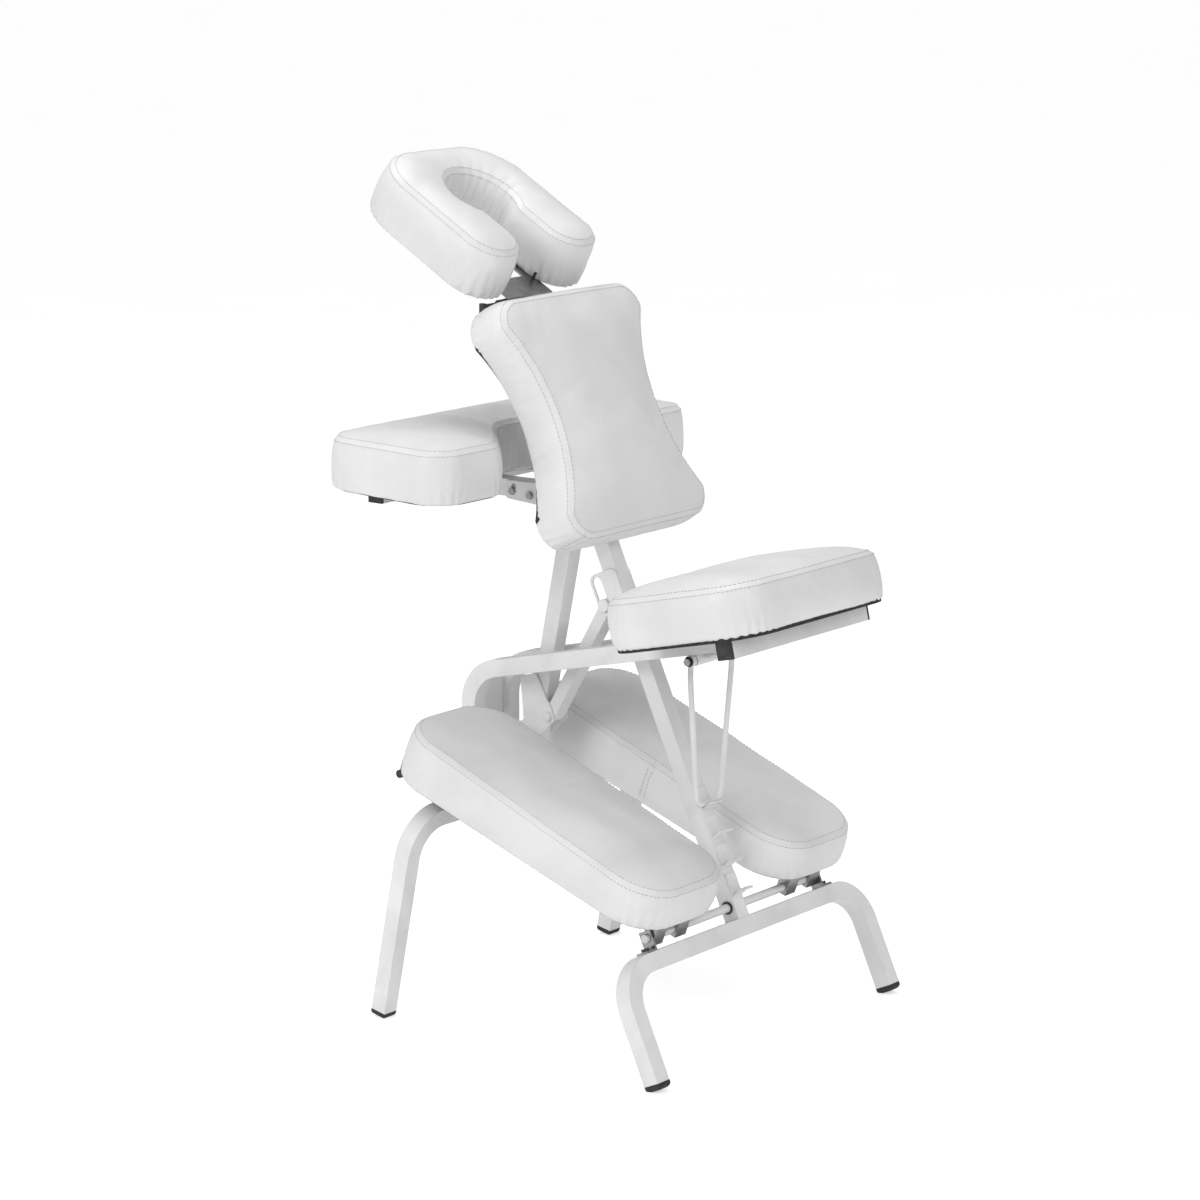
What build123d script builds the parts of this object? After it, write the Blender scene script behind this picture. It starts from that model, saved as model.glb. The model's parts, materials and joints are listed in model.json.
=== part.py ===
from build123d import *
import os
from math import cos, hypot, radians, sin

# Kneeling massage chair: an A-frame of 25 mm square tube with a seat, two knee rests, a chest
# pad, an armrest and a face cradle. X runs across the chair, Y points the way the sitter faces,
# Z is up, and the origin is on the floor under the middle of the chair.

# ---------------------------------------------------------------- driving dimensions (mm)
TUBE = 25.0
WALL = 1.5
HALF = TUBE / 2
PLATE = 3.0
BOARD = 12.0
GAP = 0.5
RUN_GAP = 0.3
ROD = 12.0
BOLT = 8.0
SCREW = 4.5

REAR_FEET_Y = -295.6
REAR_LEAN = 24.7
REAR_START_Y = 2.0
REAR_LEG_X = 272.0
REAR_BAR_S = 164.0
BEND = 55.0
POST_TOP_S = 1075.0

FRONT_LEAN = -11.5
FRONT_START_Y = 504.6
FRONT_LEG_X = 256.0
FRONT_BAR_S = 297.5

CAP_THICK = 9.0
CAP_ROUND = 6.0
CAP_PLUG = 15.0
CAP_WORN = 0.8
END_CAP = 4.0

REAR_ROD = (83.6, 177.5)
FRONT_ROD = (515.0, 338.0)
ROD_HALF_LENGTH = 200.0
MAST_PIVOT = (359.4, 713.5)
STRUT_LOW = (399.1, 403.1)
STRUT_HIGH = (296.7, 577.1)
STRUT_DEPTH = 18.0
STRUT_TRAVEL = 31.0
STRUT_SLOT = 16.0

HOOK_PITCH = 42.0
HOOK_TOP_S = 335.8
HOOK_STRIP = 2.5
HOOK_WIDTH = 22.0
PROP_ROD = 8.0
PROP_BAR = (127.3, 318.6)
PROP_PIVOT = (123.0, 527.0)
PROP_FOOT_X = 27.0

SEAT_TILT = 13.0
RAIL_X = 37.5
RAIL_LEVEL = (270.0, 514.4)
RAIL_FRONT_Y = 518.0
RAIL_END_Z = 325.0
RAIL_BEND = 60.0
CROSS_TUBE_Y = -15.0
CROSS_TUBE_HALF = 155.0
SEAT_CENTRE_Y = 54.0
SEAT_SIZE = (358.0, 264.0)
SEAT_SEAM = 71.0
SEAT_CROWN = 17.0

KNEE_X = 154.0
KNEE_WIDTH = 205.0
KNEE_BASE = (364.0, 305.4)
KNEE_BASE_TILT = 19.4
KNEE_SEAM = (61.3, 260.1)
KNEE_SEAM_TILT = 21.8
KNEE_CROWN = 11.0
KNEE_SPAN = (-335.0, 151.0)

CHEST_S = 907.0
CHEST_THICK = 65.0
CHEST_CROWN = 16.0
CHEST_MOUNT = 4.0
CHEST_SPAN = (-183.0, 172.0)
CHEST_WAIST = 117.0
CHEST_WIDE = 157.0
CHEST_CORNER = 46.0

ARM_PIVOT = (430.0, 717.0)
ARM_LOCK = (462.0, 720.0)
ARM_SWING = 14.0
ARM_BOLT = 6.0
ARM_TUBE_Z = (711.0, 736.0)
ARM_TUBE_Y = (392.0, 572.5)
ARM_CROSS_HALF = 165.0
ARM_BOARD_Z = 743.5
ARM_SEAM_Z = 816.0
ARM_CROWN = 12.0
ARM_REAR_CORNER = 46.0

CRADLE_TILT = 30.0
CRADLE_SEAM = (412.7, 1070.2)
CRADLE_THICK = 76.0
CRADLE_CROWN = 10.0
CRADLE_HALF = 135.0
CRADLE_SPAN = (-13.0, 249.0)
STEM = 20.0
STEM_S = (950.0, 1088.0)
LEVER_REACH = 82.0


# ---------------------------------------------------------------- planes and small helpers
def side_plane(x=0.0):
    """Vertical plane at x: local x is Y from the rear feet, local y is Z."""
    return Plane(origin=(x, REAR_FEET_Y, 0), x_dir=(0, 1, 0), z_dir=(1, 0, 0))


def leaning_plane(start_y, lean):
    """Plane across the chair leaning forward by lean: local y runs up it, its normal points back."""
    a = radians(lean)
    return Plane(origin=(0, REAR_FEET_Y + start_y, 0), x_dir=(1, 0, 0), z_dir=(0, -cos(a), sin(a)))


def lying_plane(y, z, tilt):
    """Plane facing up whose front edge is higher by tilt: local y runs forward along it."""
    a = radians(tilt)
    return Plane(origin=(0, REAR_FEET_Y + y, z), x_dir=(1, 0, 0), z_dir=(0, -sin(a), cos(a)))


def foot_height(lean):
    """Height of a tube's end above the floor when its leaning rubber foot rests on it."""
    a = abs(radians(lean))
    drop = (HALF - CAP_ROUND) * sin(a) + (CAP_THICK - CAP_ROUND) * cos(a) + CAP_ROUND
    return (drop - CAP_WORN) / cos(a)


def block(plane, xs, ys, zs, mode=Mode.ADD):
    """Box between three pairs of limits in a plane's own axes."""
    with BuildSketch(plane.offset(zs[0])) as outline:
        with Locations(((xs[0] + xs[1]) / 2, (ys[0] + ys[1]) / 2)):
            Rectangle(xs[1] - xs[0], ys[1] - ys[0])
    extrude(outline.sketch, amount=zs[1] - zs[0], mode=mode)


def cross_pin(point, radius, xs, mode=Mode.ADD):
    """Round bar along X through a side-view point."""
    with BuildSketch(side_plane(xs[0])) as disc:
        with Locations(point):
            Circle(radius)
    extrude(disc.sketch, amount=xs[1] - xs[0], mode=mode)


def hex_end(point, across, xs):
    """Hexagonal bolt head or nut along X."""
    with BuildSketch(side_plane(xs[0])) as hexagon:
        with Locations(point):
            RegularPolygon(radius=across / 2, side_count=6, major_radius=False)
    extrude(hexagon.sketch, amount=xs[1] - xs[0])


def through_bolt(point, radius, reach):
    """Bolt along X with a head on one side and a nut on the other."""
    cross_pin(point, radius, (-reach, reach + 5))
    hex_end(point, radius * 3.2, (-reach - 4, -reach))
    hex_end(point, radius * 3.2, (reach, reach + 4))


def side_shape(points, xs, mode=Mode.ADD, round_by=0.0):
    """Plate along X cut to a side-view outline."""
    with BuildSketch(side_plane(xs[0])) as outline:
        with BuildLine():
            Polyline(*points, close=True)
        make_face()
        if round_by:
            fillet(outline.vertices(), round_by)
    extrude(outline.sketch, amount=xs[1] - xs[0], mode=mode)


def screws(plane, places, head_at, length):
    """Group of round-headed screws standing along a plane's normal."""
    with BuildSketch(plane.offset(head_at)) as heads:
        with Locations(*places):
            Circle(SCREW)
    extrude(heads.sketch, amount=-PLATE)
    with BuildSketch(plane.offset(head_at)) as shanks:
        with Locations(*places):
            Circle(SCREW / 2)
    extrude(shanks.sketch, amount=length)


def screw_holes(plane, places, start, length):
    """Holes for a group of screws."""
    with BuildSketch(plane.offset(start)) as holes:
        with Locations(*places):
            Circle(SCREW / 2)
    extrude(holes.sketch, amount=length, mode=Mode.SUBTRACT)


def finish(piece, label):
    """Name a finished piece and write it."""
    piece.part.label = label
    export_step(piece.part, f"parts/{label}.step")


os.makedirs("parts", exist_ok=True)
REAR = leaning_plane(REAR_START_Y, REAR_LEAN)
FRONT = leaning_plane(FRONT_START_Y, FRONT_LEAN)
SEAT = lying_plane(RAIL_LEVEL[0], RAIL_LEVEL[1], -SEAT_TILT)
KNEE = lying_plane(KNEE_BASE[0], KNEE_BASE[1], KNEE_BASE_TILT)
CRADLE = lying_plane(CRADLE_SEAM[0], CRADLE_SEAM[1], CRADLE_TILT)


# ---------------------------------------------------------------- leg frames and feet
def leg_outline(plane, leg_x, bar_s, foot_s, half, mode=Mode.ADD):
    """Bent U of constant width: two legs and the bar that joins them at the top."""
    with BuildSketch(plane) as outline:
        with BuildLine():
            a = leg_x + half
            top = bar_s + half
            FilletPolyline((-a, foot_s), (-a, top), (a, top), (a, foot_s), radius=BEND + half)
            Line((a, foot_s), (-a, foot_s))
        make_face()
        with BuildLine():
            b = leg_x - half
            top = bar_s - half
            FilletPolyline((-b, foot_s), (-b, top), (b, top), (b, foot_s), radius=BEND - half)
            Line((b, foot_s), (-b, foot_s))
        make_face(mode=Mode.SUBTRACT)
    extrude(outline.sketch, amount=half, both=True, mode=mode)


def leg_frame(plane, lean, leg_x, bar_s):
    """Hollow bent tube frame standing on two feet."""
    foot_s = foot_height(lean)
    with BuildPart() as frame:
        leg_outline(plane, leg_x, bar_s, foot_s, HALF)
        leg_outline(plane, leg_x, bar_s, foot_s, HALF - WALL, mode=Mode.SUBTRACT)
    return frame


def foot_caps(plane, lean, leg_x):
    """Two moulded feet: rounded blocks that plug into the tubes and are flat where they stand."""
    top = foot_height(lean)
    plug = HALF - WALL
    with BuildPart() as caps:
        for x in (-leg_x, leg_x):
            block(plane, (x - HALF, x + HALF), (top - CAP_THICK, top), (-HALF, HALF))
        along_leg = Axis((0, 0, 0), plane.y_dir)
        soles = caps.faces().group_by(along_leg)[0]
        fillet(soles.edges(), CAP_ROUND)
        for x in (-leg_x, leg_x):
            block(plane, (x - plug, x + plug), (top, top + CAP_PLUG), (-plug, plug))
        split(bisect_by=Plane.XY, keep=Keep.TOP)
    return caps


finish(leg_frame(REAR, REAR_LEAN, REAR_LEG_X, REAR_BAR_S), "rear_leg_frame")
finish(leg_frame(FRONT, FRONT_LEAN, FRONT_LEG_X, FRONT_BAR_S), "front_leg_frame")
finish(foot_caps(REAR, REAR_LEAN, REAR_LEG_X), "rear_feet")
finish(foot_caps(FRONT, FRONT_LEAN, FRONT_LEG_X), "front_feet")

# ---------------------------------------------------------------- rear post and its hooks
CHEST_SCREWS = [(x, CHEST_S + s) for x in (-35, 35) for s in (-100, 100)]
BUSH = 2.0
with BuildPart() as rear_post:
    block(REAR, (-HALF, HALF), (REAR_BAR_S + HALF, POST_TOP_S), (-HALF, HALF))
    inner = HALF - WALL
    block(REAR, (-inner, inner), (REAR_BAR_S + HALF, POST_TOP_S), (-inner, inner), mode=Mode.SUBTRACT)
    cross_pin(REAR_ROD, ROD / 2 + BUSH, (-HALF, HALF), mode=Mode.SUBTRACT)
finish(rear_post, "rear_post")

with BuildPart() as post_bush:
    cross_pin(REAR_ROD, ROD / 2 + BUSH, (-HALF, HALF))
    for face_x in (-HALF - 1.5, HALF):
        cross_pin(REAR_ROD, ROD / 2 + BUSH + 1.2, (face_x, face_x + 1.5))
    cross_pin(REAR_ROD, ROD / 2, (-TUBE, TUBE), mode=Mode.SUBTRACT)
finish(post_bush, "post_bush")

HOOKS = 4
with BuildPart() as height_hooks:
    for step in range(HOOKS):
        low = HOOK_TOP_S - step * HOOK_PITCH
        hook_plane = Plane(origin=REAR.origin, x_dir=REAR.y_dir, z_dir=(1, 0, 0))
        face = HALF + HOOK_STRIP / 2
        with BuildSketch(hook_plane):
            with BuildLine() as bent_strip:
                Polyline(
                    (low + 30, face),
                    (low - 1.5, face),
                    (low + 4, face + 18),
                    (low + 2, face + 23),
                )
            trace(line_width=HOOK_STRIP)
        extrude(amount=HOOK_WIDTH / 2, both=True)
finish(height_hooks, "height_hooks")

# ---------------------------------------------------------------- rear rod on its two brackets
with BuildPart() as rear_rod:
    cross_pin(REAR_ROD, ROD / 2, (-ROD_HALF_LENGTH, ROD_HALF_LENGTH))
finish(rear_rod, "rear_rod")

ROD_S = (REAR_ROD[0] - REAR_START_Y) * sin(radians(REAR_LEAN)) + REAR_ROD[1] * cos(radians(REAR_LEAN))
BAR_TOP = REAR_BAR_S + HALF
BRACKET_X = 193.0
BRACKET_FLANGE = 22.0
BRACKET_HALF = 10.0
BRACKET_BOLT_X = BRACKET_X + BRACKET_FLANGE - 9
with BuildPart() as rod_brackets:
    for sign in (-1, 1):
        web = sorted((sign * BRACKET_X, sign * (BRACKET_X + PLATE)))
        flange = sorted((sign * BRACKET_X, sign * (BRACKET_X + BRACKET_FLANGE)))
        block(REAR, web, (BAR_TOP, ROD_S + BRACKET_HALF), (-BRACKET_HALF, BRACKET_HALF))
        block(REAR, flange, (BAR_TOP, BAR_TOP + PLATE), (-BRACKET_HALF, BRACKET_HALF))
    cross_pin(REAR_ROD, ROD / 2, (-ROD_HALF_LENGTH, ROD_HALF_LENGTH), mode=Mode.SUBTRACT)
finish(rod_brackets, "rod_brackets")

with BuildPart() as rod_bracket_bolts:
    bolt_plane = Plane(origin=REAR.origin, x_dir=(1, 0, 0), z_dir=REAR.y_dir)
    with BuildSketch(bolt_plane.offset(BAR_TOP + PLATE)):
        with Locations((-BRACKET_BOLT_X, 0), (BRACKET_BOLT_X, 0)):
            RegularPolygon(radius=5, side_count=6, major_radius=False)
    extrude(amount=4)
finish(rod_bracket_bolts, "rod_bracket_bolts")

# ---------------------------------------------------------------- side plates: mast pivot and armrest
PLATE_OUTLINE = [
    (318, 690),
    (338, 736),
    (385, 737),
    (474, 735),
    (474, 709),
    (402, 704),
    (374, 692),
    (348, 682),
]
ARM_RADIUS = hypot(ARM_LOCK[0] - ARM_PIVOT[0], ARM_LOCK[1] - ARM_PIVOT[1])
for side, xs in (("left", (-HALF - PLATE, -HALF)), ("right", (HALF, HALF + PLATE))):
    with BuildPart() as upper_plate:
        side_shape(PLATE_OUTLINE, xs, round_by=4)
        cross_pin(MAST_PIVOT, BOLT / 2, xs, mode=Mode.SUBTRACT)
        cross_pin(ARM_PIVOT, ARM_BOLT / 2 + RUN_GAP, xs, mode=Mode.SUBTRACT)
        with BuildSketch(side_plane(xs[0])):
            with BuildLine() as arm_arc:
                CenterArc(ARM_PIVOT, ARM_RADIUS, 5.36, ARM_SWING)
            SlotArc(arm_arc.edges()[0], height=ARM_BOLT + 2 * RUN_GAP)
        extrude(amount=PLATE, mode=Mode.SUBTRACT)
    finish(upper_plate, f"upper_plate_{side}")

with BuildPart() as mast_pivot_bolt:
    through_bolt(MAST_PIVOT, BOLT / 2, HALF + PLATE)
finish(mast_pivot_bolt, "mast_pivot_bolt")

# ---------------------------------------------------------------- slotted channel for the strut's top
UP_Y = sin(radians(REAR_LEAN))
UP_Z = cos(radians(REAR_LEAN))
SLIDE_END = (STRUT_HIGH[0] + STRUT_TRAVEL * UP_Y, STRUT_HIGH[1] + STRUT_TRAVEL * UP_Z)
SLIDE_MID = ((STRUT_HIGH[0] + SLIDE_END[0]) / 2, (STRUT_HIGH[1] + SLIDE_END[1]) / 2)
CHANNEL_WIDTH = 50.0
slot_plane = Plane(
    origin=side_plane().from_local_coords((SLIDE_MID[0], SLIDE_MID[1], 0)),
    x_dir=REAR.y_dir,
    z_dir=(1, 0, 0),
)
with BuildPart() as strut_channel:
    for start in (-HALF - PLATE, HALF):
        with BuildSketch(slot_plane.offset(start)):
            with Locations((-1, 13)):
                RectangleRounded(STRUT_TRAVEL + 30, CHANNEL_WIDTH, 11)
            SlotOverall(STRUT_TRAVEL + STRUT_SLOT + 4, STRUT_SLOT, mode=Mode.SUBTRACT)
        extrude(amount=PLATE)
finish(strut_channel, "strut_channel")

# ---------------------------------------------------------------- mast and the strut behind it
MAST_HALF = HALF - GAP
MAST_A = radians(-FRONT_LEAN)
PIVOT_S = (FRONT_START_Y - MAST_PIVOT[0]) * sin(MAST_A) + MAST_PIVOT[1] * cos(MAST_A)
with BuildPart() as mast:
    block(FRONT, (-MAST_HALF, MAST_HALF), (FRONT_BAR_S + HALF, PIVOT_S), (-HALF, HALF))
    cross_pin(MAST_PIVOT, HALF, (-MAST_HALF, MAST_HALF))
    inner = HALF - WALL
    block(FRONT, (-inner, inner), (FRONT_BAR_S + HALF, PIVOT_S - HALF), (-inner, inner), mode=Mode.SUBTRACT)
    cross_pin(MAST_PIVOT, BOLT / 2 + RUN_GAP, (-TUBE, TUBE), mode=Mode.SUBTRACT)
finish(mast, "mast")

strut_way = Vector(STRUT_HIGH[0] - STRUT_LOW[0], STRUT_HIGH[1] - STRUT_LOW[1])
STRUT_LENGTH = strut_way.length
strut_plane = Plane(
    origin=side_plane().from_local_coords((STRUT_LOW[0], STRUT_LOW[1], 0)),
    x_dir=(0, strut_way.X, strut_way.Y),
    z_dir=(1, 0, 0),
)
with BuildPart() as strut:
    block(strut_plane, (0, STRUT_LENGTH), (-STRUT_DEPTH / 2, STRUT_DEPTH / 2), (-MAST_HALF, MAST_HALF))
    cross_pin(STRUT_LOW, STRUT_DEPTH / 2, (-MAST_HALF, MAST_HALF))
    cross_pin(STRUT_HIGH, STRUT_DEPTH / 2, (-MAST_HALF, MAST_HALF))
    hollow = STRUT_DEPTH / 2 - WALL
    walls = (WALL - MAST_HALF, MAST_HALF - WALL)
    solid_end = STRUT_DEPTH / 2 + 5
    block(strut_plane, (solid_end, STRUT_LENGTH - solid_end), (-hollow, hollow), walls, mode=Mode.SUBTRACT)
    cross_pin(STRUT_LOW, BOLT / 2 + RUN_GAP, (-TUBE, TUBE), mode=Mode.SUBTRACT)
    cross_pin(STRUT_HIGH, BOLT / 2, (-TUBE, TUBE), mode=Mode.SUBTRACT)
finish(strut, "strut")

with BuildPart() as strut_pin:
    cross_pin(STRUT_HIGH, BOLT / 2, (-HALF - PLATE - 2, HALF + PLATE + 2))
    for head in (-HALF - PLATE - 5, HALF + PLATE + 2):
        cross_pin(STRUT_HIGH, STRUT_SLOT / 2 + 1, (head, head + 3))
finish(strut_pin, "strut_pin")

with BuildPart() as strut_bolt:
    through_bolt(STRUT_LOW, BOLT / 2, HALF + PLATE)
finish(strut_bolt, "strut_bolt")

# ---------------------------------------------------------------- front side plates and front rod
LUG_OUTLINE = [
    (388, 398),
    (394, 414),
    (421, 462),
    (450, 455),
    (444, 392),
    (529, 350),
    (529, 326),
    (502, 323),
    (424, 362),
]
with BuildPart() as front_bracket:
    for xs in ((-HALF - PLATE, -HALF), (HALF, HALF + PLATE)):
        side_shape(LUG_OUTLINE, xs, round_by=3)
    side_shape([(444, 396), (450, 452), (447, 452), (441, 396)], (-HALF, HALF))
    cross_pin(STRUT_LOW, BOLT / 2, (-TUBE, TUBE), mode=Mode.SUBTRACT)
    cross_pin(FRONT_ROD, ROD / 2, (-TUBE, TUBE), mode=Mode.SUBTRACT)
finish(front_bracket, "front_bracket")

with BuildPart() as front_rod:
    cross_pin(FRONT_ROD, ROD / 2, (-ROD_HALF_LENGTH, ROD_HALF_LENGTH))
    cross_pin(FRONT_ROD, ROD / 2 - WALL, (-ROD_HALF_LENGTH, ROD_HALF_LENGTH), mode=Mode.SUBTRACT)
finish(front_rod, "front_rod")

with BuildPart() as front_rod_plugs:
    for sign in (-1, 1):
        end = sign * ROD_HALF_LENGTH
        outer = sorted((end, end + sign * 4))
        stem = sorted((end - sign * 12, end))
        cross_pin(FRONT_ROD, ROD / 2, outer)
        cross_pin(FRONT_ROD, ROD / 2 - WALL, stem)
finish(front_rod_plugs, "front_rod_plugs")

# ---------------------------------------------------------------- seat rails, cross tube and prop
SLOPE = sin(radians(SEAT_TILT)) / cos(radians(SEAT_TILT))


def rail_height(y):
    """Height of a seat rail's centre line."""
    return RAIL_LEVEL[1] - SLOPE * (y - RAIL_LEVEL[0])


rail_start = (
    CROSS_TUBE_Y + HALF * cos(radians(SEAT_TILT)),
    rail_height(CROSS_TUBE_Y) - HALF * sin(radians(SEAT_TILT)),
)
for side, centre in (("left", -RAIL_X), ("right", RAIL_X)):
    with BuildPart() as rail:
        for width, start, deep, mode in (
            (TUBE, centre - HALF, TUBE, Mode.ADD),
            (TUBE - 2 * WALL, centre - HALF + WALL, TUBE - 2 * WALL, Mode.SUBTRACT),
        ):
            with BuildSketch(side_plane(start)):
                with BuildLine():
                    FilletPolyline(
                        rail_start,
                        (RAIL_FRONT_Y, rail_height(RAIL_FRONT_Y)),
                        (RAIL_FRONT_Y, RAIL_END_Z),
                        radius=RAIL_BEND,
                    )
                trace(line_width=width)
            extrude(amount=deep, mode=mode)
        xs = (centre - TUBE, centre + TUBE)
        cross_pin(FRONT_ROD, ROD / 2 + RUN_GAP, xs, mode=Mode.SUBTRACT)
        mouth = [
            (FRONT_ROD[0] - TUBE, FRONT_ROD[1] + ROD / 2 + RUN_GAP),
            (FRONT_ROD[0], FRONT_ROD[1] + ROD / 2 + RUN_GAP),
            (FRONT_ROD[0] + ROD / 2 + RUN_GAP, FRONT_ROD[1]),
            (FRONT_ROD[0] + ROD / 2 + RUN_GAP, FRONT_ROD[1] - TUBE),
            (FRONT_ROD[0] - TUBE, FRONT_ROD[1] - TUBE),
        ]
        side_shape(mouth, xs, mode=Mode.SUBTRACT)
    finish(rail, f"seat_rail_{side}")

with BuildPart() as rail_tie:
    side_shape([(515, 384), (518, 384), (516, 446), (513, 446)], (HALF - RAIL_X, RAIL_X - HALF))
finish(rail_tie, "rail_tie")

cross_plane = lying_plane(CROSS_TUBE_Y, rail_height(CROSS_TUBE_Y), -SEAT_TILT)
with BuildPart() as seat_cross_tube:
    block(cross_plane, (-CROSS_TUBE_HALF, CROSS_TUBE_HALF), (-HALF, HALF), (-HALF, HALF))
    inner = (WALL - HALF, HALF - WALL)
    block(cross_plane, (-CROSS_TUBE_HALF, CROSS_TUBE_HALF), inner, inner, mode=Mode.SUBTRACT)
finish(seat_cross_tube, "seat_cross_tube")


def tube_caps(plane, tube_half):
    """Two moulded caps that close a cross tube's ends."""
    plug = HALF - WALL
    with BuildPart() as caps:
        for sign in (-1, 1):
            end = sign * tube_half
            block(plane, sorted((end, end + sign * END_CAP)), (-HALF, HALF), (-HALF, HALF))
            block(plane, sorted((end - sign * CAP_PLUG, end)), (-plug, plug), (-plug, plug))
    return caps


finish(tube_caps(cross_plane, CROSS_TUBE_HALF), "seat_cross_caps")

AXLE_X = 41.0
EYE = (43.0, 51.0)
PIN = 3.0
with BuildPart() as prop_axle:
    cross_pin(PROP_PIVOT, 8.0, (-AXLE_X, AXLE_X))
    cross_pin(PROP_PIVOT, PIN, (-AXLE_X, AXLE_X), mode=Mode.SUBTRACT)
finish(prop_axle, "prop_axle")

prop_way = Vector(PROP_BAR[0] - PROP_PIVOT[0], PROP_BAR[1] - PROP_PIVOT[1])
prop_plane = Plane(
    origin=side_plane().from_local_coords((PROP_PIVOT[0], PROP_PIVOT[1], 0)),
    x_dir=(1, 0, 0),
    z_dir=(0, prop_way.Y, -prop_way.X),
)
with BuildPart() as prop:
    with BuildLine(prop_plane) as prop_path:
        down = -prop_way.length
        leg = (EYE[0] + EYE[1]) / 2
        FilletPolyline(
            (-leg, -5),
            (-leg, -25),
            (-PROP_FOOT_X, down),
            (PROP_FOOT_X, down),
            (leg, -25),
            (leg, -5),
            radius=14,
        )
    with BuildSketch(Plane(origin=prop_path.line @ 0, z_dir=prop_path.line % 0)):
        Circle(PROP_ROD / 2)
    sweep(path=prop_path.line)
    for xs in ((-EYE[1], -EYE[0]), EYE):
        cross_pin(PROP_PIVOT, 8.0, xs)
    cross_pin(PROP_PIVOT, PIN + RUN_GAP, (-60, 60), mode=Mode.SUBTRACT)
finish(prop, "prop")

with BuildPart() as prop_bolt:
    through_bolt(PROP_PIVOT, PIN, EYE[1] + 2)
finish(prop_bolt, "prop_bolt")

with BuildPart() as prop_washers:
    for start in (-EYE[1] - 1.7, -EYE[0] + 0.3, EYE[0] - 1.7, EYE[1] + 0.3):
        cross_pin(PROP_PIVOT, 7.0, (start, start + 1.4))
    cross_pin(PROP_PIVOT, PIN, (-60, 60), mode=Mode.SUBTRACT)
finish(prop_washers, "prop_washers")

# ---------------------------------------------------------------- seat board and cushion
SEAT_B = (SEAT_CENTRE_Y - RAIL_LEVEL[0]) / cos(radians(SEAT_TILT))
SEAT_SCREWS = [(x, SEAT_B + b) for x in (-RAIL_X, RAIL_X) for b in (-45, 75)]


def pad_board(plane, size, centre, start, corner, holes):
    """Plywood board with rounded corners and screw holes."""
    with BuildPart() as board:
        with BuildSketch(plane.offset(start)):
            with Locations(centre):
                RectangleRounded(size[0], size[1], corner)
        extrude(amount=BOARD)
        screw_holes(plane, holes, start, BOARD)
    return board


SEAT_BOARD = (SEAT_SIZE[0] - 12, SEAT_SIZE[1] - 12)
finish(pad_board(SEAT, SEAT_BOARD, (0, SEAT_B), HALF, 58, SEAT_SCREWS), "seat_board")
with BuildPart() as seat_screws:
    screws(SEAT, SEAT_SCREWS, HALF, BOARD)
    rail_run = (SEAT_B - 90, SEAT_B + 120)
    block(SEAT, (-RAIL_X - 5, RAIL_X + 5), rail_run, (HALF - PLATE, HALF), mode=Mode.SUBTRACT)
finish(seat_screws, "seat_screws")

with BuildPart() as seat_cushion:
    with BuildSketch(SEAT.offset(HALF + BOARD)):
        with Locations((0, SEAT_B)):
            RectangleRounded(SEAT_SIZE[0], SEAT_SIZE[1], 64)
    extrude(amount=SEAT_SEAM - BOARD + SEAT_CROWN)
    fillet(seat_cushion.faces().sort_by(Axis((0, 0, 0), SEAT.z_dir))[-1].edges(), 26)
finish(seat_cushion, "seat_cushion")

# ---------------------------------------------------------------- knee rests
FRONT_CLIP = [(90, 0), (163, 0), (163, -19.4), (143, -19.4), (143, -4), (90, -4)]
REAR_CLIP = [
    (-322, 0),
    (-275, 0),
    (-275, -4),
    (-298, -4),
    (-298, -36.5),
    (-316, -36.5),
    (-316, -4),
    (-322, -4),
]
CLIP_WIDTH = 24.0
CLIP_SPREAD = 26.0
CLIP_SCREWS = (-286, 108, 130)
crown_plane = lying_plane(KNEE_SEAM[0], KNEE_SEAM[1], KNEE_SEAM_TILT).offset(KNEE_CROWN)
for side, sign in (("left", -1), ("right", 1)):
    centre = sign * KNEE_X
    middle = (KNEE_SPAN[0] + KNEE_SPAN[1]) / 2
    length = KNEE_SPAN[1] - KNEE_SPAN[0]
    clip_xs = (centre - CLIP_SPREAD, centre + CLIP_SPREAD)
    holes = [(x, b) for x in clip_xs for b in CLIP_SCREWS]
    board = pad_board(KNEE, (KNEE_WIDTH - 14, length - 14), (centre, middle), 0, 62, holes)
    finish(board, f"knee_board_{side}")
    with BuildPart() as knee_cushion:
        with BuildSketch(KNEE.offset(BOARD)):
            with Locations((centre, middle)):
                RectangleRounded(KNEE_WIDTH, length, 70)
        extrude(amount=120)
        split(bisect_by=crown_plane, keep=Keep.BOTTOM)
        fillet(knee_cushion.faces().sort_by(Axis((0, 0, 0), KNEE.z_dir))[-1].edges(), 22)
    finish(knee_cushion, f"knee_cushion_{side}")
    with BuildPart() as knee_clips:
        for outline, rod in ((FRONT_CLIP, FRONT_ROD), (REAR_CLIP, REAR_ROD)):
            for x in clip_xs:
                clip_plane = Plane(
                    origin=KNEE.from_local_coords((x - CLIP_WIDTH / 2, 0, 0)),
                    x_dir=KNEE.y_dir,
                    z_dir=(1, 0, 0),
                )
                with BuildSketch(clip_plane):
                    with BuildLine():
                        Polyline(*outline, close=True)
                    make_face()
                extrude(amount=CLIP_WIDTH)
            cross_pin(rod, ROD / 2 + RUN_GAP, (centre - 60, centre + 60), mode=Mode.SUBTRACT)
        screw_holes(KNEE, holes, -4, 4)
    finish(knee_clips, f"knee_clips_{side}")
    with BuildPart() as knee_screws:
        with BuildSketch(KNEE.offset(-4)):
            with Locations(*holes):
                Circle(SCREW / 2)
        extrude(amount=4 + BOARD)
        with BuildSketch(KNEE.offset(-4)):
            with Locations(*holes):
                Circle(SCREW)
        extrude(amount=-2.5)
    finish(knee_screws, f"knee_screws_{side}")

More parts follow.
